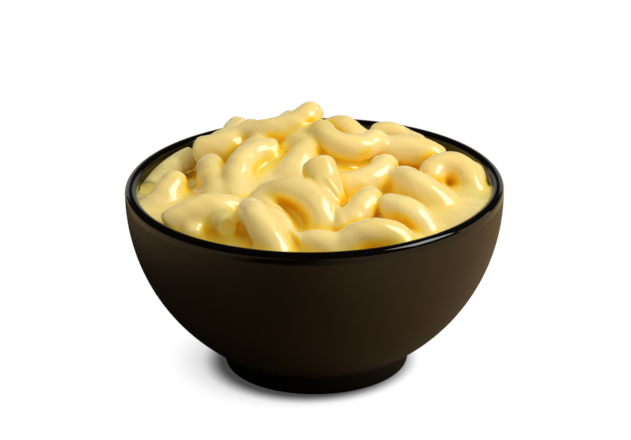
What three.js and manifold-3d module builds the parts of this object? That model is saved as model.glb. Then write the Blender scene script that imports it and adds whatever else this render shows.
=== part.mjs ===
// Macaroni and cheese heaped in a round, footed bowl.
// Millimetres, +Z up. The origin is the centre of the foot's resting face, and the
// front of the heap looks towards -Y.
//
// Two solids: the bowl is one lathed body, and the food is one solid that fills the
// bowl and carries the elbows of pasta that stand out of the cheese sauce.

import * as THREE from 'three';
import { mergeVertices } from 'three/addons/utils/BufferGeometryUtils.js';
import Module from 'manifold-3d';

// Bowl
const RIM_RADIUS = 70;
const BOWL_HEIGHT = 71;
const LIP_THICKNESS = 4.4;
const BODY_RADIUS = 70; // the outside of the body is part of a sphere
const BODY_CENTRE_Z = BOWL_HEIGHT - 3.5;
const INSIDE_RADIUS = RIM_RADIUS - LIP_THICKNESS;
const FLOOR_THICKNESS = 5.3;
const FOOT_RADIUS = 34.6;
const FOOT_HEIGHT = 8;
const FOOT_RING_WIDTH = 5;
const FOOT_EDGE_ROUND = 1;
const FOOT_FLARE = 0.3; // the ring is a little narrower where it stands
const RECESS_DEPTH = 3.5;
const BOWL_SEGMENTS = 48;

// Food
const WALL_GAP = 0.3;
const COAT_RADIUS = 4.9; // an elbow with its coat of sauce
const END_ROUND = 2;
const TUBE_SIDES = 7;
const BEND_STEP = 33; // degrees of bend for each ring of facets

// The sauce between the elbows, from the rim, with its mounds and dips. Each row: x, y,
// height and spread.
const SAUCE_LEVEL = -4.2;
const SAUCE_MOUNDS = [
  [-8, 10, 11, 30],
  [46, -17, 3, 26],
  [-58, 30, -6, 24],
  [53, 38, -4, 24],
  [-45, -42, -4, 18],
  [5, -58, -3, 18],
  [4, -33, -1.5, 9],
  [-7, -30, 4, 7],
  [-36, -12, 3, 12],
  [62, 12, -4, 10],
];
const SAUCE_RINGS = 7;

// The elbows that fill the room between the laid ones and the back of the heap.
const SPOTS = 150;
const SPOT_REACH = 56;
const SPOT_FRONT = 12; // none is nearer the front than this
const SPOT_CLEARANCE = 11.5;
const SPOT_LIFT = 4; // over the sauce
const SPOT_BEND = 11;
const SPOT_TURN = 130;
const GOLDEN_ANGLE = 137.508;

// The elbows of the front and the crest. Each row: the middle of the bend (x, y and
// the height over the rim), the way it heads, its climb, its lean (0 bends flat to the
// left, 90 arches upwards), the radius of the bend, its length in degrees, and the
// radius of the tube in its coat of sauce.
const LAID_ELBOWS = [
  [-12, 24, 12, 5, 15, -5, 16, 115, 4.9],
  [-35, 24, 5, 15, 10, 10, 12, 85, 5.7],
  [-38, 2, 3.5, -85, -8, 90, 14, 50, 5.5],
  [-36, -10, -1.5, -85, -40, 95, 8, 120, 4.8],
  [-27, 0, 7, -115, -20, 40, 19, 110, 5.0],
  [-23, 17, 6, 55, 15, 100, 8, 115, 4.8],
  [-5, 6, 7, 65, 20, 75, 21, 55, 5.1],
  [4, -25, 6.5, -70, -50, 90, 40, 32, 6.4],
  [-4, -30, 7, -35, -15, 115, 14, 180, 5.3],
  [-19, -48, 2, -60, -25, 55, 16, 95, 5.2],
  [-15, -38, -2, -65, -15, 90, 33, 45, 6.6],
  [-40, -29, 1.5, 15, 5, 85, 22, 75, 5.2],
  [-39, -29, -3, 30, 10, 150, 10, 130, 4.8],
  [-34, -31, -1, 110, -5, 40, 47, 25, 4.3],
  [-55, -7, -2, -130, -30, 150, 20, 55, 5.0],
  [-55, 20.5, -3, -124, -11, 25, 54, 30, 3.7],
  [-30, 50, 2, 80, 0, 90, 10, 140, 4.6],
  [-32, 43, 1, 20, 0, 90, 10, 130, 4.6],
  [-10, 46, 6, 70, 0, 90, 9, 150, 4.6],
  [12, 9, 10, -5, -10, -10, 10, 185, 4.9],
  [11, 35, 8, -30, 0, 110, 7, 135, 4.8],
  [19, -11, 4, 30, 10, -10, 16, 100, 5.3],
  [16, -35, 2, -125, -25, 110, 17, 70, 5.3],
  [21, -52, 1, 5, 0, 85, 13, 145, 5.1],
  [34, -38, 2, -25, -25, 75, 12, 95, 5.2],
  [39, -17, 3, -30, -20, 35, 11, 120, 5.6],
  [51, 4, 4, 0, -10, 140, 7, 220, 5.3],
  [37, 16, 5.5, -4, -10, 75, 20, 62, 5.8],
  [30, 43, 2, -20, -8, 105, 12, 70, 4.7],
  [59, -1, -1, -100, -30, 120, 9, 110, 4.2],
  [2, -52, -3, -20, 0, 55, 8, 150, 4.8],
  [-8, 36, 5, 75, 0, 60, 11, 120, 4.9],
  [37, 36, -1, 60, 0, 50, 11, 110, 4.9],
];

const wasm = await Module();
wasm.setup();

const radians = THREE.MathUtils.degToRad;

// ---- Solids ------------------------------------------------------------------------

function solidFrom(geometry) {
  const bare = geometry.clone();
  bare.deleteAttribute('normal');
  bare.deleteAttribute('uv');
  const merged = mergeVertices(bare, 1e-4);
  return new wasm.Manifold(new wasm.Mesh({
    numProp: 3,
    vertProperties: new Float32Array(merged.attributes.position.array),
    triVerts: new Uint32Array(merged.index.array),
  }));
}

function geometryFrom(solid) {
  const mesh = solid.getMesh();
  const geometry = new THREE.BufferGeometry();
  geometry.setAttribute('position', new THREE.BufferAttribute(mesh.vertProperties, 3));
  geometry.setIndex(new THREE.BufferAttribute(mesh.triVerts, 1));
  geometry.computeVertexNormals();
  return geometry;
}

// Keeps the faces that hang together with the highest point, so that pockets sealed
// inside are filled.
function withoutPockets(geometry) {
  const corners = geometry.index.array;
  const height = geometry.attributes.position;
  const parent = Array.from({ length: height.count }, (_, i) => i);
  const root = (i) => {
    let at = i;
    while (parent[at] !== at) {
      parent[at] = parent[parent[at]];
      at = parent[at];
    }
    return at;
  };
  for (let i = 0; i < corners.length; i += 3) {
    parent[root(corners[i + 1])] = root(corners[i]);
    parent[root(corners[i + 2])] = root(corners[i]);
  }
  const highest = parent.reduce((best, _, i) => (height.getZ(i) > height.getZ(best) ? i : best), 0);
  geometry.setIndex([...corners].filter((corner) => root(corner) === root(highest)));
  return geometry;
}

// Points (radius, height) turned about +Z. They run up the outside and end on the axis.
function lathe(points, segments) {
  const geometry = new THREE.LatheGeometry(points, segments);
  geometry.rotateX(Math.PI / 2);
  return geometry;
}

function arc(centreX, centreY, radiusX, radiusY, from, to, steps) {
  const points = [];
  for (let i = 0; i <= steps; i += 1) {
    const angle = radians(from + ((to - from) * i) / steps);
    points.push(new THREE.Vector2(
      centreX + radiusX * Math.cos(angle),
      centreY + radiusY * Math.sin(angle),
    ));
  }
  return points;
}

// ---- Bowl --------------------------------------------------------------------------

const LIP_RADIUS = LIP_THICKNESS / 2;
const LIP_CENTRE_Z = BOWL_HEIGHT - LIP_RADIUS;
const INSIDE_DEPTH = LIP_CENTRE_Z - RECESS_DEPTH - FLOOR_THICKNESS;

function bowlGeometry() {
  const ringInside = FOOT_RADIUS - FOOT_RING_WIDTH;
  const edge = FOOT_RADIUS - FOOT_FLARE - FOOT_EDGE_ROUND;
  const bodyStart = THREE.MathUtils.radToDeg(Math.asin((FOOT_HEIGHT - BODY_CENTRE_Z) / BODY_RADIUS));
  const profile = [
    new THREE.Vector2(0, RECESS_DEPTH),
    new THREE.Vector2(ringInside - 1, RECESS_DEPTH),
    ...arc(ringInside + FOOT_EDGE_ROUND, FOOT_EDGE_ROUND, FOOT_EDGE_ROUND, FOOT_EDGE_ROUND, 180, 270, 2),
    ...arc(edge, FOOT_EDGE_ROUND, FOOT_EDGE_ROUND, FOOT_EDGE_ROUND, -90, 0, 3),
    new THREE.Vector2(FOOT_RADIUS, FOOT_HEIGHT),
    ...arc(0, BODY_CENTRE_Z, BODY_RADIUS, BODY_RADIUS, bodyStart, 0, 8),
    ...arc(INSIDE_RADIUS + LIP_RADIUS, LIP_CENTRE_Z, LIP_RADIUS, LIP_RADIUS, 0, 180, 6),
    ...arc(0, LIP_CENTRE_Z, INSIDE_RADIUS, INSIDE_DEPTH, 0, -90, 8).slice(1),
  ];
  return lathe(profile, BOWL_SEGMENTS);
}

// ---- Food --------------------------------------------------------------------------

// The space inside the bowl, clear of its wall, and open above the rim.
function cavityGeometry() {
  const radius = INSIDE_RADIUS - WALL_GAP;
  const depth = INSIDE_DEPTH - WALL_GAP;
  const roof = BOWL_HEIGHT + 40;
  const profile = [
    ...arc(0, LIP_CENTRE_Z, radius, depth, -90, 0, 8),
    new THREE.Vector2(radius, roof),
    new THREE.Vector2(0, roof),
  ];
  profile[0].x = 0;
  return lathe(profile, BOWL_SEGMENTS);
}

function sauceLift(x, y) {
  return SAUCE_MOUNDS.reduce(
    (lift, [atX, atY, height, spread]) => (
      lift + height * Math.exp(-((x - atX) ** 2 + (y - atY) ** 2) / spread ** 2)
    ),
    SAUCE_LEVEL,
  );
}

// A disc of sauce, wider than the bowl, with the level above as its top.
function sauceGeometry() {
  const reach = RIM_RADIUS + 2;
  const profile = [new THREE.Vector2(0, 0), new THREE.Vector2(reach, 0)];
  for (let i = 0; i <= SAUCE_RINGS; i += 1) {
    profile.push(new THREE.Vector2(reach * (1 - i / SAUCE_RINGS), BOWL_HEIGHT));
  }
  const geometry = lathe(profile, BOWL_SEGMENTS / 2);
  const position = geometry.attributes.position;
  for (let i = 0; i < position.count; i += 1) {
    if (position.getZ(i) > BOWL_HEIGHT / 2) {
      position.setZ(i, BOWL_HEIGHT + sauceLift(position.getX(i), position.getY(i)));
    }
  }
  return geometry;
}

// A round bar with rounded ends, its axis then wrapped round the bend. The bend starts
// along +X and curves towards +Y, with its middle at the origin.
function elbowGeometry(bend, turn, radius) {
  const half = (bend * radians(turn)) / 2;
  const straight = half - END_ROUND;
  const steps = Math.max(3, Math.round(turn / BEND_STEP));
  const profile = [new THREE.Vector2(0, -half), new THREE.Vector2(radius - END_ROUND, -half)];
  for (let i = 0; i <= steps; i += 1) {
    profile.push(new THREE.Vector2(radius, straight * ((2 * i) / steps - 1)));
  }
  profile.push(new THREE.Vector2(radius - END_ROUND, half), new THREE.Vector2(0, half));
  const geometry = new THREE.LatheGeometry(profile, TUBE_SIDES);
  const position = geometry.attributes.position;
  for (let i = 0; i < position.count; i += 1) {
    const angle = position.getY(i) / bend;
    const inwards = position.getX(i);
    position.setXYZ(
      i,
      (bend - inwards) * Math.sin(angle),
      bend - (bend - inwards) * Math.cos(angle),
      -position.getZ(i),
    );
  }
  return geometry;
}

// Turns an elbow's own axes to its heading, climb and lean, and sets its middle.
function elbowPlace(x, y, lift, heading, climb, lean) {
  const along = new THREE.Vector3(
    Math.cos(radians(heading)) * Math.cos(radians(climb)),
    Math.sin(radians(heading)) * Math.cos(radians(climb)),
    Math.sin(radians(climb)),
  );
  const left = new THREE.Vector3(-Math.sin(radians(heading)), Math.cos(radians(heading)), 0);
  const down = new THREE.Vector3().crossVectors(left, along);
  const towards = left.multiplyScalar(Math.cos(radians(lean)))
    .addScaledVector(down, Math.sin(radians(lean)));
  const across = new THREE.Vector3().crossVectors(along, towards);
  return new THREE.Matrix4()
    .makeBasis(along, towards, across)
    .setPosition(x, y, BOWL_HEIGHT + lift);
}

// Elbows wherever the laid ones leave room, on a spiral of spots over the sauce.
function fillingElbows() {
  const filling = [];
  for (let i = 0; i < SPOTS; i += 1) {
    const radius = SPOT_REACH * Math.sqrt((i + 0.5) / SPOTS);
    const azimuth = i * GOLDEN_ANGLE;
    const x = radius * Math.cos(radians(azimuth));
    const y = radius * Math.sin(radians(azimuth));
    const others = [...LAID_ELBOWS, ...filling];
    const clear = others.every(([atX, atY]) => Math.hypot(atX - x, atY - y) > SPOT_CLEARANCE);
    if (clear && y > SPOT_FRONT) {
      const lift = sauceLift(x, y) + SPOT_LIFT;
      const heading = azimuth + 90 + 60 * Math.sin(2 * i);
      const lean = 50 + 40 * Math.sin(3 * i);
      filling.push([x, y, lift, heading, 0, lean, SPOT_BEND, SPOT_TURN, COAT_RADIUS]);
    }
  }
  return filling;
}

function foodGeometry() {
  let food = solidFrom(sauceGeometry());
  for (const row of [...LAID_ELBOWS, ...fillingElbows()]) {
    const [x, y, lift, heading, climb, lean, bend, turn, radius] = row;
    const elbow = elbowGeometry(bend, turn, radius);
    elbow.applyMatrix4(elbowPlace(x, y, lift, heading, climb, lean));
    food = food.add(solidFrom(elbow));
  }
  return withoutPockets(geometryFrom(food.intersect(solidFrom(cavityGeometry()))));
}

// ---- The object --------------------------------------------------------------------

const glaze = new THREE.MeshStandardMaterial({ color: 0x1f1607, roughness: 0.3, metalness: 0 });
const cheese = new THREE.MeshStandardMaterial({ color: 0xedce78, roughness: 0.35, metalness: 0 });

function part(name, geometry, material) {
  const mesh = new THREE.Mesh(geometry, material);
  mesh.name = name;
  return mesh;
}

const object = new THREE.Group();
object.add(part('bowl', bowlGeometry(), glaze));
object.add(part('mac_and_cheese', foodGeometry(), cheese));

export default object;
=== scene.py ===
"""The looks of a bowl of macaroni and cheese: a dark glazed bowl, heaped with hollow
elbows of pasta in one coat of thick cheese sauce.  Lengths are named in millimetres and
become metres where a mesh is made.  The front of the heap looks towards -Y."""

import math

import bmesh
import bpy
import numpy as np
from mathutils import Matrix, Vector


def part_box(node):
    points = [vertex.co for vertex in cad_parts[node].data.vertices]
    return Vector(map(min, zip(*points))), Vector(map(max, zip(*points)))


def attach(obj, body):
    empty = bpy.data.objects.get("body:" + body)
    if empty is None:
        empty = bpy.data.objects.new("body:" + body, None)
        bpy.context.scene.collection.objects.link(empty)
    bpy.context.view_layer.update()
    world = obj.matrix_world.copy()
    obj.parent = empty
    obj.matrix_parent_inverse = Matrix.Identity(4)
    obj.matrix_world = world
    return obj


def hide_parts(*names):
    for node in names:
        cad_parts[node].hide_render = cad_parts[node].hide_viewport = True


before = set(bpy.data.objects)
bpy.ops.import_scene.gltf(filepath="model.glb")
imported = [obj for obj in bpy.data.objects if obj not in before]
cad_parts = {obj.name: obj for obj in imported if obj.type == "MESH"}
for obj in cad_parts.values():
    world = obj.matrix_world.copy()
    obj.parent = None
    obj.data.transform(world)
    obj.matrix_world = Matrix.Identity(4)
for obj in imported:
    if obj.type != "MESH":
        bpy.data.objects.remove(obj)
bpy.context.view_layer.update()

import openvdb
from mathutils import Matrix, Vector

MM = 0.001
BOWL_LOW, BOWL_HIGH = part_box("bowl")
RIM_RADIUS = (BOWL_HIGH.x - BOWL_LOW.x) / 2 / MM
RIM_HEIGHT = BOWL_HIGH.z / MM

# Bowl
LIP_THICKNESS = 4.4
BODY_CENTRE = RIM_HEIGHT - 3.5
FLOOR_THICKNESS = 5.3
FOOT_RADIUS = 34.6
FOOT_HEIGHT = 8
FOOT_RING_WIDTH = 5
FOOT_EDGE_ROUND = 1
FOOT_FLARE = 0.3
RECESS_DEPTH = 3.5
LIP_RADIUS = LIP_THICKNESS / 2
LIP_CENTRE = RIM_HEIGHT - LIP_RADIUS
INSIDE_RADIUS = RIM_RADIUS - LIP_THICKNESS
INSIDE_DEPTH = LIP_CENTRE - RECESS_DEPTH - FLOOR_THICKNESS
BOWL_SEGMENTS = 224
CORE_SEGMENTS = 96
MERGE_DISTANCE = 0.005

# Pasta
TUBE_RADIUS = 4.1
TUBE_WALL = 1.2
TUBE_SIDES = 18
TUBE_RINGS = 15

# Sauce
COAT_RADIUS = 4.9
BARE_RADIUS = 4.0
END_ROUND = 2.2
END_COVER = 1.2
END_DIMPLE = 0.7
HOLLOW_RADIUS = 2.3
SAUCE_CELL = 0.66
SAUCE_DEPTH = 12.5
SAUCE_HEADROOM = 25
ELBOW_BLEND = 0.9
POOL_BLEND = 4.5
POOL_SLOPE = 0.85
DIMPLE_BLEND = 0.8
MENISCUS_HEIGHT = 1.2
MENISCUS_WIDTH = 1.5
UNEVENNESS = 0.35
INTO_WALL = 0.3
SKIN_BAND = 3.0
NO_SHARE = 1e-5
# Reaches and weights for how enclosed the skin lies, which sets the painted crevice shade.
CREVICE_SHADE_REACHES = ((2.0, 0.3), (4.0, 0.35), (7.0, 0.35))

# The level of the sauce between the elbows, from the rim, and its mounds and dips.
# Each row: x, y, height and spread.
SAUCE_LEVEL = -4.2
SAUCE_MOUNDS = [
    (-8, 10, 11, 30),
    (46, -17, 3, 26),
    (-58, 30, -6, 24),
    (53, 38, -4, 24),
    (-45, -42, -4, 18),
    (5, -58, -3, 18),
    (4, -33, -1.5, 9),
    (-7, -30, 4, 7),
    (-36, -12, 3, 12),
    (62, 12, -4, 10),
]

# Elbows between the laid ones
SPOTS = 150
SPOT_REACH = 56
SPOT_FRONT = 12
SPOT_CLEARANCE = 11.5
SPOT_LIFT = 4
SPOT_BEND = 11
SPOT_TURN = 130
GOLDEN_ANGLE = 137.508

# Each row: the middle of the bend (x, y and the height over the rim), the way it heads,
# its climb, its lean (0 bends flat to the left, 90 arches upwards), the radius of the
# bend, its length in degrees, and the radius of the tube in its coat of sauce.
LAID_ELBOWS = [
    (-12, 24, 12, 5, 15, -5, 16, 115, 4.9),
    (-35, 24, 5, 15, 10, 10, 12, 85, 5.7),
    (-38, 2, 3.5, -85, -8, 90, 14, 50, 5.5),
    (-36, -10, -1.5, -85, -40, 95, 8, 120, 4.8),
    (-27, 0, 7, -115, -20, 40, 19, 110, 5.0),
    (-23, 17, 6, 55, 15, 100, 8, 115, 4.8),
    (-5, 6, 7, 65, 20, 75, 21, 55, 5.1),
    (4, -25, 6.5, -70, -50, 90, 40, 32, 6.4),
    (-4, -30, 7, -35, -15, 115, 14, 180, 5.3),
    (-19, -48, 2, -60, -25, 55, 16, 95, 5.2),
    (-15, -38, -2, -65, -15, 90, 33, 45, 6.6),
    (-40, -29, 1.5, 15, 5, 85, 22, 75, 5.2),
    (-39, -29, -3, 30, 10, 150, 10, 130, 4.8),
    (-34, -31, -1, 110, -5, 40, 47, 25, 4.3),
    (-55, -7, -2, -130, -30, 150, 20, 55, 5.0),
    (-55, 20.5, -3, -124, -11, 25, 54, 30, 3.7),
    (-30, 50, 2, 80, 0, 90, 10, 140, 4.6),
    (-32, 43, 1, 20, 0, 90, 10, 130, 4.6),
    (-10, 46, 6, 70, 0, 90, 9, 150, 4.6),
    (12, 9, 10, -5, -10, -10, 10, 185, 4.9),
    (11, 35, 8, -30, 0, 110, 7, 135, 4.8),
    (19, -11, 4, 30, 10, -10, 16, 100, 5.3),
    (16, -35, 2, -125, -25, 110, 17, 70, 5.3),
    (21, -52, 1, 5, 0, 85, 13, 145, 5.1),
    (34, -38, 2, -25, -25, 75, 12, 95, 5.2),
    (39, -17, 3, -30, -20, 35, 11, 120, 5.6),
    (51, 4, 4, 0, -10, 140, 7, 220, 5.3),
    (37, 16, 5.5, -4, -10, 75, 20, 62, 5.8),
    (30, 43, 2, -20, -8, 105, 12, 70, 4.7),
    (59, -1, -1, -100, -30, 120, 9, 110, 4.2),
    (2, -52, -3, -20, 0, 55, 8, 150, 4.8),
    (-8, 36, 5, 75, 0, 60, 11, 120, 4.9),
    (37, 36, -1, 60, 0, 50, 11, 110, 4.9),
]

# Ridges of sauce drawn out over the elbows.  Each row: the start and the end, as x, y and
# the height over the rim, and half the width.
SAUCE_RIDGES = [
    (1, -28, 12, 6, -35, 5, 0.9),
    (5, -29, 12, 9, -31, 6, 0.8),
    (8, -34, 4, 10, -43, 1, 0.8),
    (-16, -38, 5, -12, -41, 3, 0.7),
    (-14, -40, 4, -9, -44, 1.5, 0.8),
    (-8, -48, 0, -5, -53, -1.5, 0.8),
]

# Studio
SHADE_CENTRE = (-2.5 * MM, -1.5 * MM, 0)
SHADE_WIDTH = 7.2 * MM
WIDE_SHADE_CENTRE = (-9 * MM, 0, 0)
WARM = (1, 0.72, 0.42)
FILL = 0.38
FILL_COLOUR = (1, 0.98, 0.95, 1)
MIRRORED = 0.02
FLOOR_HALF = 4.0
CAMERA_ELEVATION = math.radians(23.2)
CAMERA_DISTANCE = 1.137
CAMERA_ROLL = math.radians(-0.77)
LENS_LENGTH = 173.2
SENSOR_WIDTH = 36


# ---- Node trees ---------------------------------------------------------------------


def shade(red, green, blue):
    """A colour named by its display values from 0 to 255, as the linear one nodes take."""
    def linear(value):
        value /= 255
        return value / 12.92 if value <= 0.04045 else ((value + 0.055) / 1.055) ** 2.4
    return (linear(red), linear(green), linear(blue), 1.0)


class Wire:
    """An output socket that takes part in Python expressions."""

    def __init__(self, tree, socket):
        self.tree = tree
        self.socket = socket

    def maths(self, operation, first, second):
        node = self.tree.node("ShaderNodeMath", {"operation": operation}, {0: first, 1: second})
        return node.out()

    def __add__(self, other):
        return self.maths("ADD", self, other)

    def __radd__(self, other):
        return self.maths("ADD", other, self)

    def __sub__(self, other):
        return self.maths("SUBTRACT", self, other)

    def __rsub__(self, other):
        return self.maths("SUBTRACT", other, self)

    def __mul__(self, other):
        return self.maths("MULTIPLY", self, other)

    def __rmul__(self, other):
        return self.maths("MULTIPLY", other, self)

    def __truediv__(self, other):
        return self.maths("DIVIDE", self, other)

    def __rtruediv__(self, other):
        return self.maths("DIVIDE", other, self)

    def __mod__(self, other):
        return self.maths("FLOORED_MODULO", self, other)


class Placed:
    """A node of a tree, whose outputs come as wires."""

    def __init__(self, tree, node):
        self.tree = tree
        self.node = node

    def out(self, name=0):
        return Wire(self.tree, self.node.outputs[name])


class Tree:
    """A shader or geometry tree.  One method adds any node."""

    def __init__(self, tree):
        self.tree = tree

    def node(self, kind, settings=None, inputs=None):
        node = self.tree.nodes.new(kind)
        for name, value in (settings or {}).items():
            if name == "stops":
                self.set_stops(node.color_ramp, value)
            else:
                setattr(node, name, value)
        for name, value in (inputs or {}).items():
            if isinstance(value, Wire):
                self.tree.links.new(value.socket, node.inputs[name])
            else:
                node.inputs[name].default_value = value
        return Placed(self, node)

    def set_stops(self, ramp, stops):
        while len(ramp.elements) < len(stops):
            ramp.elements.new(1.0)
        for element, (position, colour) in zip(ramp.elements, stops):
            element.position = position
            element.color = colour

    def span(self, value, low, high, to_low=0.0, to_high=1.0):
        """The value's run from low to high, smoothed and held at both ends."""
        return self.node(
            "ShaderNodeMapRange", {"interpolation_type": "SMOOTHSTEP"},
            {"Value": value, "From Min": low, "From Max": high,
             "To Min": to_low, "To Max": to_high},
        ).out("Result")

    def blend(self, share, first, second):
        """Two colours mixed by a share."""
        node = self.tree.nodes.new("ShaderNodeMix")
        node.data_type = "RGBA"
        sockets = {"Factor": node.inputs[0], "A": node.inputs[6], "B": node.inputs[7]}
        for name, value in (("Factor", share), ("A", first), ("B", second)):
            if isinstance(value, Wire):
                self.tree.links.new(value.socket, sockets[name])
            else:
                sockets[name].default_value = value
        return Wire(self, node.outputs[2])


def new_material(name):
    material = bpy.data.materials.new(name)
    material.use_nodes = True
    material.node_tree.nodes.clear()
    return material, Tree(material.node_tree)


def finish_material(tree, shader):
    tree.node("ShaderNodeOutputMaterial", inputs={"Surface": shader.out()})


# ---- Materials ----------------------------------------------------------------------


def cheese_material():
    """Thick cheese sauce: pale on the crests, with a painted shade that turns it deeper and more
    orange in crevices, and thinner and greyer where the pasta shows through."""
    material, tree = new_material("cheese_sauce")
    place = tree.node("ShaderNodeTexCoord").out("Object")
    crevice = tree.node("ShaderNodeAttribute", {"attribute_name": "crevice"}).out("Fac")
    bare = tree.node("ShaderNodeAttribute", {"attribute_name": "bare"}).out("Fac")
    mottle = tree.node(
        "ShaderNodeTexNoise", inputs={"Vector": place, "Scale": 90.0, "Detail": 2.0}
    ).out("Fac")
    patches = tree.node(
        "ShaderNodeTexNoise", inputs={"Vector": place, "Scale": 28.0, "Detail": 1.0}
    ).out("Fac")
    crest = tree.blend(tree.span(patches, 0.35, 0.65), shade(236, 210, 132), shade(243, 220, 150))
    crest = tree.blend(tree.span(bare, 0.2, 0.9), crest, shade(222, 208, 126))
    # Painted shade: the more enclosed the skin lies, the deeper and more orange its colour.
    depth = tree.span(crevice + 0.12 * (mottle - 0.5), 0.25, 0.95)
    crevice_shade_colour = tree.node(
        "ShaderNodeValToRGB",
        {"stops": [(0.0, shade(243, 216, 98)), (0.5, shade(248, 212, 58)),
                   (1.0, shade(244, 188, 12))]},
        {"Fac": depth},
    ).out("Color")
    colour = tree.blend(tree.span(crevice, 0.12, 0.55), crest, crevice_shade_colour)
    film = tree.node(
        "ShaderNodeTexNoise", inputs={"Vector": place, "Scale": 420.0, "Detail": 2.0}
    ).out("Fac")
    ripple = tree.node(
        "ShaderNodeBump", inputs={"Strength": 0.08, "Distance": 0.0004, "Height": film}
    ).out("Normal")
    shader = tree.node("ShaderNodeBsdfPrincipled", inputs={
        "Base Color": colour,
        "Roughness": 0.2 + 0.08 * tree.span(mottle, 0.3, 0.7),
        "IOR": 1.5,
        "Coat Weight": 0.6,
        "Coat Roughness": 0.16,
        "Subsurface Weight": 0.6,
        "Subsurface Radius": (1.0, 0.9, 0.35),
        "Subsurface Scale": 0.005,
        "Normal": ripple,
    })
    finish_material(tree, shader)
    return material


def pasta_material():
    """Bare boiled pasta: wet, a little grey and see-through."""
    material, tree = new_material("boiled_pasta")
    place = tree.node("ShaderNodeTexCoord").out("Object")
    cloud = tree.node(
        "ShaderNodeTexNoise", inputs={"Vector": place, "Scale": 130.0, "Detail": 3.0}
    ).out("Fac")
    colour = tree.blend(tree.span(cloud, 0.3, 0.7), shade(196, 180, 112), shade(218, 202, 136))
    grain = tree.node(
        "ShaderNodeTexNoise", inputs={"Vector": place, "Scale": 900.0, "Detail": 2.0}
    ).out("Fac")
    surface = tree.node(
        "ShaderNodeBump", inputs={"Strength": 0.1, "Distance": 0.0002, "Height": grain}
    ).out("Normal")
    shader = tree.node("ShaderNodeBsdfPrincipled", inputs={
        "Base Color": colour,
        "Roughness": 0.2 + 0.12 * cloud,
        "IOR": 1.4,
        "Subsurface Weight": 0.7,
        "Subsurface Radius": (1.0, 0.75, 0.35),
        "Subsurface Scale": 0.003,
        "Normal": surface,
    })
    finish_material(tree, shader)
    return material


def glaze_material():
    """Brown-black glaze, satin on the body and lighter towards the foot, glossy black where it
    runs over the lip, and near-black on the foot, where that black is a painted shadow.
    """
    material, tree = new_material("dark_glaze")
    place = tree.node("ShaderNodeTexCoord").out("Object")
    spot = tree.node("ShaderNodeSeparateXYZ", inputs={"Vector": place})
    x, y, height = spot.out("X"), spot.out("Y"), spot.out("Z")
    drift = tree.node(
        "ShaderNodeTexNoise", inputs={"Vector": place, "Scale": 22.0, "Detail": 3.0}
    ).out("Fac")
    edge = height + 0.0006 * (drift - 0.5)
    lip = tree.span(edge, (LIP_CENTRE - 2.6) * MM, (LIP_CENTRE - 1.2) * MM)
    # Lighter towards the foot, and in random drifts.
    lighter_low = 0.75 - 0.75 * tree.span(height, 5 * MM, 62 * MM) + 0.25 * tree.span(drift, 0.3, 0.7)
    body = tree.blend(lighter_low, shade(33, 24, 6), shade(54, 40, 13))
    depth = (LIP_CENTRE * MM - height) / (INSIDE_DEPTH * MM)
    hollow = (x * x + y * y) / (INSIDE_RADIUS * MM) ** 2 + depth * depth
    inside = 1 - tree.span(hollow, 1.02, 1.08)
    # A painted shadow: the foot takes the same near-black as the lip and the inside.
    foot = 1 - tree.span(height, (FOOT_HEIGHT - 0.6) * MM, (FOOT_HEIGHT + 0.4) * MM)
    colour = tree.blend(lip + inside + foot, body, shade(6, 4, 3))
    speck = tree.node(
        "ShaderNodeTexNoise", inputs={"Vector": place, "Scale": 700.0, "Detail": 2.0}
    ).out("Fac")
    surface = tree.node(
        "ShaderNodeBump",
        inputs={"Strength": 0.06, "Distance": 0.0002, "Height": speck * (1 - lip)},
    ).out("Normal")
    shader = tree.node("ShaderNodeBsdfPrincipled", inputs={
        "Base Color": colour,
        "Roughness": tree.span(lip, 0.0, 1.0, 0.4, 0.06) + 0.04 * drift,
        "IOR": 1.45,
        "Normal": surface,
    })
    finish_material(tree, shader)
    return material


def floor_material():
    """White, with a close soft shade round the foot and a wider one to its left.  The glaze
    sees it brown, and dark in front."""
    material, tree = new_material("studio_floor")
    place = tree.node("ShaderNodeTexCoord").out("Object")

    def distance_from(centre):
        return tree.node(
            "ShaderNodeVectorMath", {"operation": "DISTANCE"}, {0: place, 1: centre},
        ).out("Value")

    near = FOOT_RADIUS * MM
    close = tree.span(distance_from(SHADE_CENTRE), near - 2 * MM, near + SHADE_WIDTH, 0.1)
    wide = tree.span(distance_from(WIDE_SHADE_CENTRE), near - 8 * MM, near + 14 * MM, 0.62)
    light = tree.blend(close * wide, (0, 0, 0, 1), (1, 1, 1, 1))
    seen = tree.node("ShaderNodeLightPath").out("Is Camera Ray")
    bright = tree.node("ShaderNodeEmission", inputs={"Color": light, "Strength": 1.0})
    spot = tree.node("ShaderNodeSeparateXYZ", inputs={"Vector": place})
    right = tree.span(spot.out("X"), -0.05, 0.17)
    behind = tree.span(spot.out("Y"), 0.1, 0.5)
    left = 1 - tree.span(spot.out("X"), -0.22, -0.11)
    share = 1 - (1 - right) * (1 - behind) * (1 - left)
    lit = tree.blend(share, (0.02, 0.02, 0.02, 1), (0.62, 0.43, 0.23, 1))
    quiet = tree.node("ShaderNodeBsdfDiffuse", inputs={"Color": lit})
    shader = tree.node("ShaderNodeMixShader", inputs={0: seen, 1: quiet.out(), 2: bright.out()})
    finish_material(tree, shader)
    return material


# ---- Meshes -------------------------------------------------------------------------


def mesh_object(name, vertices, edges=(), faces=()):
    mesh = bpy.data.meshes.new(name)
    mesh.from_pydata(vertices, list(edges), list(faces))
    mesh.update()
    piece = bpy.data.objects.new(name, mesh)
    bpy.context.collection.objects.link(piece)
    return piece


def arc(centre_x, centre_z, radius_x, radius_z, start, end, steps):
    angles = np.radians(np.linspace(start, end, steps + 1))
    return [
        (centre_x + radius_x * math.cos(angle), centre_z + radius_z * math.sin(angle))
        for angle in angles
    ]


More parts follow.
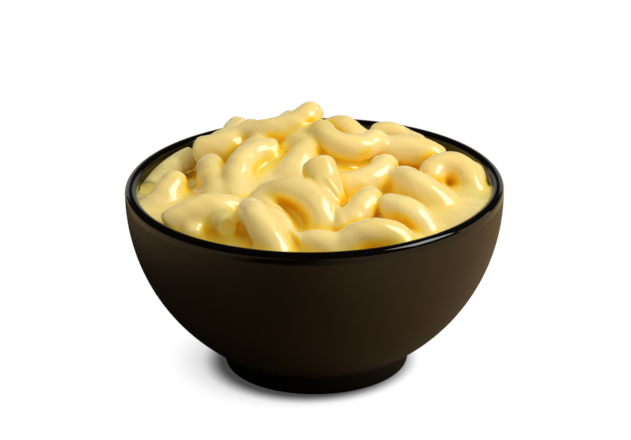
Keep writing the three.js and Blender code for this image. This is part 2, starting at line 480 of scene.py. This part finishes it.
def geometry_group(name, inputs):
    """A geometry tree with a mesh in and out and the named inputs."""
    group = bpy.data.node_groups.new(name, "GeometryNodeTree")
    group.interface.new_socket("Mesh", in_out="INPUT", socket_type="NodeSocketGeometry")
    for label, kind in inputs.items():
        group.interface.new_socket(label, in_out="INPUT", socket_type=kind)
    group.interface.new_socket("Mesh", in_out="OUTPUT", socket_type="NodeSocketGeometry")
    tree = Tree(group)
    return group, tree, tree.node("NodeGroupInput")


def keep_result(piece, modifier):
    """Makes what the modifier shows the piece's own plain mesh."""
    evaluated = piece.evaluated_get(bpy.context.evaluated_depsgraph_get())
    mesh = bpy.data.meshes.new_from_object(evaluated)
    piece.modifiers.remove(modifier)
    old = piece.data
    piece.data = mesh
    bpy.data.meshes.remove(old)
    mesh.name = piece.name
    return piece


def grow(piece, group, values):
    """Runs a geometry tree on a piece and keeps the result."""
    modifier = piece.modifiers.new(group.name, "NODES")
    modifier.node_group = group
    for socket in group.interface.items_tree:
        if socket.in_out == "INPUT" and socket.name in values:
            modifier[socket.identifier] = values[socket.name]
    return keep_result(piece, modifier)


def turned_group():
    """Turns a profile, a row of points in the XZ plane that starts and ends on the axis,
    about Z."""
    group, tree, given = geometry_group("turned", {
        "Points": "NodeSocketInt", "Segments": "NodeSocketInt", "Material": "NodeSocketMaterial",
    })
    points, segments = given.out("Points"), given.out("Segments")
    grid = tree.node("GeometryNodeMeshGrid", inputs={
        "Vertices X": segments + 1, "Vertices Y": points,
    }).out("Mesh")
    index = tree.node("GeometryNodeInputIndex").out()
    row = index % points
    column = (index - row) / points
    place = tree.node("GeometryNodeInputPosition").out()
    sample = tree.node(
        "GeometryNodeSampleIndex", {"data_type": "FLOAT_VECTOR"},
        {"Geometry": given.out("Mesh"), "Value": place, "Index": row},
    ).out("Value")
    spot = tree.node("ShaderNodeSeparateXYZ", inputs={"Vector": sample})
    turn = column / segments * math.tau
    cosine = tree.node("ShaderNodeMath", {"operation": "COSINE"}, {0: turn}).out()
    sine = tree.node("ShaderNodeMath", {"operation": "SINE"}, {0: turn}).out()
    turned = tree.node("ShaderNodeCombineXYZ", inputs={
        "X": spot.out("X") * cosine, "Y": spot.out("X") * sine, "Z": spot.out("Z"),
    }).out()
    moved = tree.node(
        "GeometryNodeSetPosition", inputs={"Geometry": grid, "Position": turned}
    ).out()
    closed = tree.node(
        "GeometryNodeMergeByDistance", inputs={"Geometry": moved, "Distance": MERGE_DISTANCE * MM}
    ).out()
    smooth = tree.node("GeometryNodeSetShadeSmooth", inputs={"Geometry": closed}).out()
    real = tree.node("GeometryNodeRealizeInstances", inputs={"Geometry": smooth}).out()
    painted = tree.node(
        "GeometryNodeSetMaterial", inputs={"Geometry": real, "Material": given.out("Material")}
    ).out()
    tree.node("NodeGroupOutput", inputs={"Mesh": painted})
    return group


def turned_piece(name, profile, segments, material):
    rim = [(x * MM, 0.0, z * MM) for x, z in profile]
    piece = mesh_object(name, rim, edges=[(i, i + 1) for i in range(len(rim) - 1)])
    grow(piece, turned_group(), {
        "Points": len(profile), "Segments": segments, "Material": material,
    })
    return outward(piece)


def outward(piece):
    """Turns every face of a closed mesh outwards."""
    work = bmesh.new()
    work.from_mesh(piece.data)
    bmesh.ops.recalc_face_normals(work, faces=work.faces)
    work.to_mesh(piece.data)
    work.free()
    return piece


def bowl_profile():
    ring_inside = FOOT_RADIUS - FOOT_RING_WIDTH
    edge = FOOT_RADIUS - FOOT_FLARE - FOOT_EDGE_ROUND
    start = math.degrees(math.asin((FOOT_HEIGHT - BODY_CENTRE) / RIM_RADIUS))
    return [
        (0.0, RECESS_DEPTH),
        (ring_inside - 1.0, RECESS_DEPTH),
        *arc(ring_inside + FOOT_EDGE_ROUND, FOOT_EDGE_ROUND, FOOT_EDGE_ROUND, FOOT_EDGE_ROUND,
             180, 270, 5),
        *arc(edge, FOOT_EDGE_ROUND, FOOT_EDGE_ROUND, FOOT_EDGE_ROUND, -90, 0, 6),
        (FOOT_RADIUS - 0.1, FOOT_HEIGHT - 1.0),
        (FOOT_RADIUS, FOOT_HEIGHT - 0.3),
        *arc(0, BODY_CENTRE, RIM_RADIUS, RIM_RADIUS, start, 0, 40),
        *arc(INSIDE_RADIUS + LIP_RADIUS, LIP_CENTRE, LIP_RADIUS, LIP_RADIUS, 0, 180, 16),
        *arc(0, LIP_CENTRE, INSIDE_RADIUS, INSIDE_DEPTH, 0, -90, 28)[1:-1],
        (0.0, LIP_CENTRE - INSIDE_DEPTH),
    ]


def core_profile():
    """The filling under the sauce's skin, down to the bowl's floor."""
    top = RIM_HEIGHT - SAUCE_DEPTH + 0.5
    start = -math.degrees(math.asin((LIP_CENTRE - top) / INSIDE_DEPTH))
    wall = arc(0, LIP_CENTRE, INSIDE_RADIUS, INSIDE_DEPTH, start, -90, 20)
    return [(0.0, top), *wall[:-1], (0.0, LIP_CENTRE - INSIDE_DEPTH)]


# ---- Elbows -------------------------------------------------------------------------


def sauce_lift(x, y):
    """The level of the sauce over the rim, for arrays or numbers."""
    lift = SAUCE_LEVEL
    for at_x, at_y, height, spread in SAUCE_MOUNDS:
        lift = lift + height * np.exp(-((x - at_x) ** 2 + (y - at_y) ** 2) / spread**2)
    return lift


def filling_elbows():
    """Elbows wherever the laid ones leave room, on a spiral of spots over the sauce."""
    filling = []
    for i in range(SPOTS):
        radius = SPOT_REACH * math.sqrt((i + 0.5) / SPOTS)
        azimuth = i * GOLDEN_ANGLE
        x = radius * math.cos(math.radians(azimuth))
        y = radius * math.sin(math.radians(azimuth))
        others = LAID_ELBOWS + filling
        clear = all(math.hypot(other[0] - x, other[1] - y) > SPOT_CLEARANCE for other in others)
        if clear and y > SPOT_FRONT:
            heading = azimuth + 90 + 60 * math.sin(2 * i)
            lean = 50 + 40 * math.sin(3 * i)
            lift = float(sauce_lift(x, y)) + SPOT_LIFT
            filling.append((x, y, lift, heading, 0, lean, SPOT_BEND, SPOT_TURN, COAT_RADIUS))
    return filling


class Elbow:
    """One bent tube: its middle, its own axes and its bend."""

    def __init__(self, row):
        x, y, lift, heading, climb, lean, bend, turn, radius = row
        heading, climb, lean = (math.radians(angle) for angle in (heading, climb, lean))
        self.middle = Vector((x, y, RIM_HEIGHT + lift))
        self.along = Vector((
            math.cos(heading) * math.cos(climb),
            math.sin(heading) * math.cos(climb),
            math.sin(climb),
        ))
        left = Vector((-math.sin(heading), math.cos(heading), 0))
        down = left.cross(self.along)
        self.towards = math.cos(lean) * left + math.sin(lean) * down
        self.across = self.along.cross(self.towards)
        self.bend = bend
        self.half_turn = math.radians(turn) / 2
        self.pasta_half_turn = self.half_turn - END_COVER / bend
        self.radius = radius
        self.bareness = np.clip((COAT_RADIUS - radius) / (COAT_RADIUS - BARE_RADIUS), 0, 1)

    def reach(self):
        """How far the tube gets from its middle."""
        return 2 * self.bend * math.sin(min(self.half_turn, math.pi) / 2) + self.radius


ELBOWS = [Elbow(row) for row in LAID_ELBOWS + filling_elbows()]


def elbow_group():
    """Sweeps a hollow tube along each point's own bend."""
    group, tree, given = geometry_group("elbow_tubes", {
        "Rings": "NodeSocketInt", "Sides": "NodeSocketInt",
        "Radius": "NodeSocketFloat", "Material": "NodeSocketMaterial",
    })
    rings = given.out("Rings")

    def held(name, kind="FLOAT"):
        return tree.node(
            "GeometryNodeInputNamedAttribute", {"data_type": kind}, {"Name": name}
        ).out("Attribute")

    def scaled(vector, factor):
        return tree.node(
            "ShaderNodeVectorMath", {"operation": "SCALE"}, {"Vector": vector, "Scale": factor}
        ).out("Vector")

    points = tree.node("GeometryNodeMeshToPoints", inputs={"Mesh": given.out("Mesh")}).out()
    copies = tree.node(
        "GeometryNodeDuplicateElements", {"domain": "POINT"},
        {"Geometry": points, "Amount": rings},
    )
    step = copies.out("Duplicate Index")
    angle = held("half_turn") * (2 * step / (rings - 1) - 1)
    bend = held("bend")
    sine = tree.node("ShaderNodeMath", {"operation": "SINE"}, {0: angle}).out()
    cosine = tree.node("ShaderNodeMath", {"operation": "COSINE"}, {0: angle}).out()
    offset = tree.node(
        "ShaderNodeVectorMath", {"operation": "ADD"},
        {0: scaled(held("along", "FLOAT_VECTOR"), bend * sine),
         1: scaled(held("towards", "FLOAT_VECTOR"), bend * (1 - cosine))},
    ).out("Vector")
    moved = tree.node(
        "GeometryNodeSetPosition", inputs={"Geometry": copies.out("Geometry"), "Offset": offset}
    ).out()
    curves = tree.node(
        "GeometryNodePointsToCurves",
        inputs={"Points": moved, "Curve Group ID": held("elbow", "INT"), "Weight": step},
    ).out()
    ring = tree.node(
        "GeometryNodeCurvePrimitiveCircle",
        inputs={"Resolution": given.out("Sides"), "Radius": given.out("Radius")},
    ).out()
    tubes = tree.node(
        "GeometryNodeCurveToMesh", inputs={"Curve": curves, "Profile Curve": ring}
    ).out()
    smooth = tree.node("GeometryNodeSetShadeSmooth", inputs={"Geometry": tubes}).out()
    real = tree.node("GeometryNodeRealizeInstances", inputs={"Geometry": smooth}).out()
    painted = tree.node(
        "GeometryNodeSetMaterial", inputs={"Geometry": real, "Material": given.out("Material")}
    ).out()
    tree.node("NodeGroupOutput", inputs={"Mesh": painted})
    return group


def set_attribute(mesh, name, kind, values):
    attribute = mesh.attributes.new(name, kind, "POINT")
    key = {"FLOAT_VECTOR": "vector"}.get(kind, "value")
    attribute.data.foreach_set(key, np.ravel(values))


def macaroni_piece(material):
    piece = mesh_object("macaroni", [elbow.middle * MM for elbow in ELBOWS])
    mesh = piece.data
    set_attribute(mesh, "elbow", "INT", range(len(ELBOWS)))
    set_attribute(mesh, "bend", "FLOAT", [elbow.bend * MM for elbow in ELBOWS])
    set_attribute(mesh, "half_turn", "FLOAT", [elbow.pasta_half_turn for elbow in ELBOWS])
    set_attribute(mesh, "along", "FLOAT_VECTOR", [elbow.along[:] for elbow in ELBOWS])
    set_attribute(mesh, "towards", "FLOAT_VECTOR", [elbow.towards[:] for elbow in ELBOWS])
    grow(piece, elbow_group(), {
        "Rings": TUBE_RINGS, "Sides": TUBE_SIDES, "Radius": TUBE_RADIUS * MM,
        "Material": material,
    })
    return piece


def thicken(piece, thickness):
    """Gives open tubes their wall, inwards, and keeps it."""
    modifier = piece.modifiers.new("wall", "SOLIDIFY")
    modifier.thickness = thickness
    modifier.offset = -1
    modifier.use_even_offset = True
    return keep_result(piece, modifier)


# ---- Sauce --------------------------------------------------------------------------


class SauceField:
    """Distance to the sauce's skin on a grid, in millimetres, negative inside."""

    def __init__(self):
        reach = INSIDE_RADIUS + 2 * SAUCE_CELL
        self.low = np.array([-reach, -reach, RIM_HEIGHT - SAUCE_DEPTH])
        high = np.array([reach, reach, RIM_HEIGHT + SAUCE_HEADROOM])
        self.shape = np.ceil((high - self.low) / SAUCE_CELL).astype(int) + 1
        self.axes = [
            (self.low[k] + SAUCE_CELL * np.arange(self.shape[k])).astype(np.float32)
            for k in range(3)
        ]
        self.near = np.full(self.shape, NO_SHARE, np.float32)
        self.bare = np.zeros(self.shape, np.float32)

    def window(self, low, high):
        spans = []
        for k in range(3):
            first = max(0, int((low[k] - self.low[k]) / SAUCE_CELL))
            last = min(self.shape[k], int((high[k] - self.low[k]) / SAUCE_CELL) + 2)
            spans.append(slice(first, last))
        return tuple(spans)

    def points(self, window):
        x, y, z = (axis[span] for axis, span in zip(self.axes, window))
        return x[:, None, None], y[None, :, None], z[None, None, :]

    def add_elbow(self, elbow):
        margin = elbow.reach() + 7
        middle = np.array(elbow.middle)
        window = self.window(middle - margin, middle + margin)
        x, y, z = (axis - m for axis, m in zip(self.points(window), middle))
        along, towards, across = (
            x * v.x + y * v.y + z * v.z for v in (elbow.along, elbow.towards, elbow.across)
        )
        reach = np.hypot(along, elbow.bend - towards)
        angle = np.abs(np.arctan2(along, elbow.bend - towards)) - elbow.half_turn
        from_axis = np.hypot(reach - elbow.bend, across)
        past_end = reach * np.sin(np.clip(angle, -math.pi / 2, math.pi / 2))
        side = from_axis - (elbow.radius - END_ROUND)
        end = past_end + END_ROUND
        distance = (
            np.minimum(np.maximum(side, end), 0)
            + np.hypot(np.maximum(side, 0), np.maximum(end, 0))
            - END_ROUND
        )
        dimple = np.maximum(from_axis - HOLLOW_RADIUS, -(past_end + END_DIMPLE))
        distance = soft_max(distance, -dimple, DIMPLE_BLEND)
        share = np.exp(-distance / ELBOW_BLEND)
        self.near[window] += share
        self.bare[window] += share * elbow.bareness

    def add_ridge(self, row):
        *ends, half_width = row
        start = np.array(ends[:3]) + (0, 0, RIM_HEIGHT)
        run = np.array(ends[3:]) - ends[:3]
        length = math.dist(ends[:3], ends[3:])
        middle = start + run / 2
        window = self.window(middle - length, middle + length)
        x, y, z = (axis - at for axis, at in zip(self.points(window), start))
        share = np.clip((x * run[0] + y * run[1] + z * run[2]) / length**2, 0, 1)
        off = np.sqrt((x - share * run[0])**2 + (y - share * run[1])**2 + (z - share * run[2])**2)
        distance = off - half_width * (0.3 + 2.8 * share * (1 - share))
        self.near[window] += np.exp(-distance / ELBOW_BLEND)

    def finish(self):
        x, y, z = self.points((slice(None),) * 3)
        distance = -ELBOW_BLEND * np.log(self.near) + UNEVENNESS * uneven(x, y, z)
        self.bare /= self.near
        radius = np.hypot(x, y)
        level = RIM_HEIGHT + sauce_lift(x, y)
        level = level + MENISCUS_HEIGHT * np.exp((radius - INSIDE_RADIUS) / MENISCUS_WIDTH)
        pool = POOL_SLOPE * (z - level)
        distance = -soft_max(-distance, -pool, POOL_BLEND)
        drop = np.clip((LIP_CENTRE - z) / INSIDE_DEPTH, 0, 1)
        wall = radius - INSIDE_RADIUS * np.sqrt(1 - drop**2) - INTO_WALL
        self.distance = np.maximum(distance, wall).astype(np.float32)

    def sample(self, grid, points):
        """Reads a grid between its cells."""
        place = np.clip((points - self.low) / SAUCE_CELL, 0, np.array(self.shape) - 1.001)
        cell = place.astype(int)
        share = place - cell
        total = np.zeros(len(points))
        for corner in range(8):
            bits = np.array([corner & 1, corner >> 1 & 1, corner >> 2 & 1])
            weight = np.prod(np.where(bits, share, 1 - share), axis=1)
            i, j, k = (cell + bits).T
            total += weight * grid[i, j, k]
        return total


def uneven(x, y, z):
    """A slow swelling and thinning, from -1 to 1, for arrays in millimetres."""
    return (
        np.sin(0.37 * x + 0.11 * z + 1.0) * np.sin(0.33 * y - 0.17 * z + 2.0)
        + np.sin(0.61 * y + 0.23 * x + 0.5) * np.sin(0.47 * z + 0.41 * x)
    ) / 2


def soft_max(first, second, blend):
    """The larger of two, rounded where they meet."""
    share = np.clip(0.5 + 0.5 * (first - second) / blend, 0, 1)
    return second + (first - second) * share + blend * share * (1 - share)


def sauce_piece(material):
    field = SauceField()
    for elbow in ELBOWS:
        field.add_elbow(elbow)
    for row in SAUCE_RIDGES:
        field.add_ridge(row)
    field.finish()
    grid = openvdb.FloatGrid(SKIN_BAND)
    grid.copyFromArray(np.clip(field.distance, -SKIN_BAND, SKIN_BAND))
    vertices, quads = grid.convertToQuads(0.0)
    vertices = (vertices * SAUCE_CELL + field.low) * MM
    mesh = bpy.data.meshes.new("cheese_sauce")
    mesh.from_pydata(vertices.tolist(), [], quads.tolist())
    piece = bpy.data.objects.new("cheese_sauce", mesh)
    bpy.context.collection.objects.link(piece)
    close_below(piece, (field.low[2] + SAUCE_CELL) * MM)
    outward(piece)
    mesh.polygons.foreach_set("use_smooth", [True] * len(mesh.polygons))
    mesh.materials.append(material)

    count = len(mesh.vertices)
    spots = np.empty(count * 3)
    normals = np.empty(count * 3)
    mesh.vertices.foreach_get("co", spots)
    mesh.vertex_normals.foreach_get("vector", normals)
    spots = spots.reshape(-1, 3) / MM
    normals = normals.reshape(-1, 3)
    # How enclosed each point of the skin lies, kept for the painted shade in the crevices.
    crevice = np.zeros(count)
    for reach, weight in CREVICE_SHADE_REACHES:
        seen = field.sample(field.distance, spots + normals * reach)
        crevice += weight * (1 - np.clip(seen / reach, 0, 1))
    set_attribute(mesh, "crevice", "FLOAT", crevice)
    set_attribute(mesh, "bare", "FLOAT", field.sample(field.bare, spots))
    return piece


def close_below(piece, height):
    """Cuts the skin flat at a height and closes it there with one face."""
    work = bmesh.new()
    work.from_mesh(piece.data)
    everything = work.verts[:] + work.edges[:] + work.faces[:]
    cut = bmesh.ops.bisect_plane(
        work, geom=everything, plane_co=(0, 0, height), plane_no=(0, 0, 1), clear_inner=True
    )
    rim = [item for item in cut["geom_cut"] if isinstance(item, bmesh.types.BMEdge)]
    bmesh.ops.edgeloop_fill(work, edges=rim)
    work.to_mesh(piece.data)
    work.free()


# ---- Pieces -------------------------------------------------------------------------

GLAZE = glaze_material()
CHEESE = cheese_material()
PASTA = pasta_material()

bowl = turned_piece("glazed_bowl", bowl_profile(), BOWL_SEGMENTS, GLAZE)
core = turned_piece("sauce_core", core_profile(), CORE_SEGMENTS, CHEESE)
macaroni = thicken(macaroni_piece(PASTA), TUBE_WALL * MM)
sauce = sauce_piece(CHEESE)

for piece in (bowl, core, macaroni, sauce):
    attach(piece, "root")
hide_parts("bowl")
for piece in (core, macaroni, sauce):
    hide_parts("mac_and_cheese")


# ---- Studio -------------------------------------------------------------------------


def soft_box(name, place, aim, width, depth, power, colour=(1, 1, 1), mirrored=True):
    """A panel of light.  One that isn't mirrored leaves no highlight."""
    light = bpy.data.lights.new(name, "AREA")
    light.shape = "RECTANGLE"
    light.size = width
    light.size_y = depth
    light.energy = power
    light.color = colour
    lamp = bpy.data.objects.new(name, light)
    lamp.location = place
    lamp.rotation_euler = (Vector(aim) - Vector(place)).to_track_quat("-Z", "Y").to_euler()
    lamp.visible_glossy = mirrored
    lamp.visible_camera = False
    bpy.context.collection.objects.link(lamp)


def backdrop():
    """White where it is seen, dark in reflections, and an even dim light elsewhere."""
    world = bpy.data.worlds.new("studio")
    bpy.context.scene.world = world
    world.use_nodes = True
    world.node_tree.nodes.clear()
    tree = Tree(world.node_tree)
    ray = tree.node("ShaderNodeLightPath")
    white = tree.node("ShaderNodeBackground", inputs={"Color": (1, 1, 1, 1), "Strength": 1.0})
    fill = tree.node("ShaderNodeBackground", inputs={"Color": FILL_COLOUR, "Strength": FILL})
    dark = tree.node("ShaderNodeBackground", inputs={"Color": (1, 1, 1, 1), "Strength": MIRRORED})
    unseen = tree.node("ShaderNodeMixShader", inputs={
        0: ray.out("Is Glossy Ray"), 1: fill.out(), 2: dark.out(),
    })
    shader = tree.node("ShaderNodeMixShader", inputs={
        0: ray.out("Is Camera Ray"), 1: unseen.out(), 2: white.out(),
    })
    tree.node("ShaderNodeOutputWorld", inputs={"Surface": shader.out()})


floor = mesh_object(
    "studio_floor",
    [(-FLOOR_HALF, -FLOOR_HALF, 0), (FLOOR_HALF, -FLOOR_HALF, 0),
     (FLOOR_HALF, FLOOR_HALF, 0), (-FLOOR_HALF, FLOOR_HALF, 0)],
    faces=[(0, 1, 2, 3)],
)
floor.data.materials.append(floor_material())
backdrop()
soft_box("window", (0.72, -0.16, 0.72), (0, 0, 0.07), 0.5, 0.5, 6)
soft_box("overhead", (0.1, 0.2, 1.1), (0, 0, 0.07), 0.8, 0.8, 3, mirrored=False)
soft_box("front_fill", (0.1, -1.3, 1.0), (0, 0, 0.07), 1.2, 1.2, 5, mirrored=False)
soft_box("right_side", (1.0, 0.3, 0.1), (0, 0, 0.04), 0.6, 0.6, 1.2, WARM)
soft_box("back_glow", (0, 1.4, 0.25), (0, 0, 0.07), 1.8, 0.6, 1.6)

LOOK_AROUND = Vector((0, 0, (RIM_HEIGHT - 39) * MM))
AIM = Vector((0.27 * MM, 0, (RIM_HEIGHT - 15.3) * MM))
back = Vector((0, -math.cos(CAMERA_ELEVATION), math.sin(CAMERA_ELEVATION)))
lens = bpy.data.cameras.new("camera")
lens.lens = LENS_LENGTH
lens.sensor_width = SENSOR_WIDTH
camera = bpy.data.objects.new("camera", lens)
camera.location = LOOK_AROUND + back * CAMERA_DISTANCE
look = (AIM - camera.location).to_track_quat("-Z", "Y").to_matrix().to_4x4()
camera.rotation_euler = (look @ Matrix.Rotation(CAMERA_ROLL, 4, "Z")).to_euler()
bpy.context.collection.objects.link(camera)
bpy.context.scene.camera = camera
bpy.context.scene.view_settings.view_transform = "Standard"
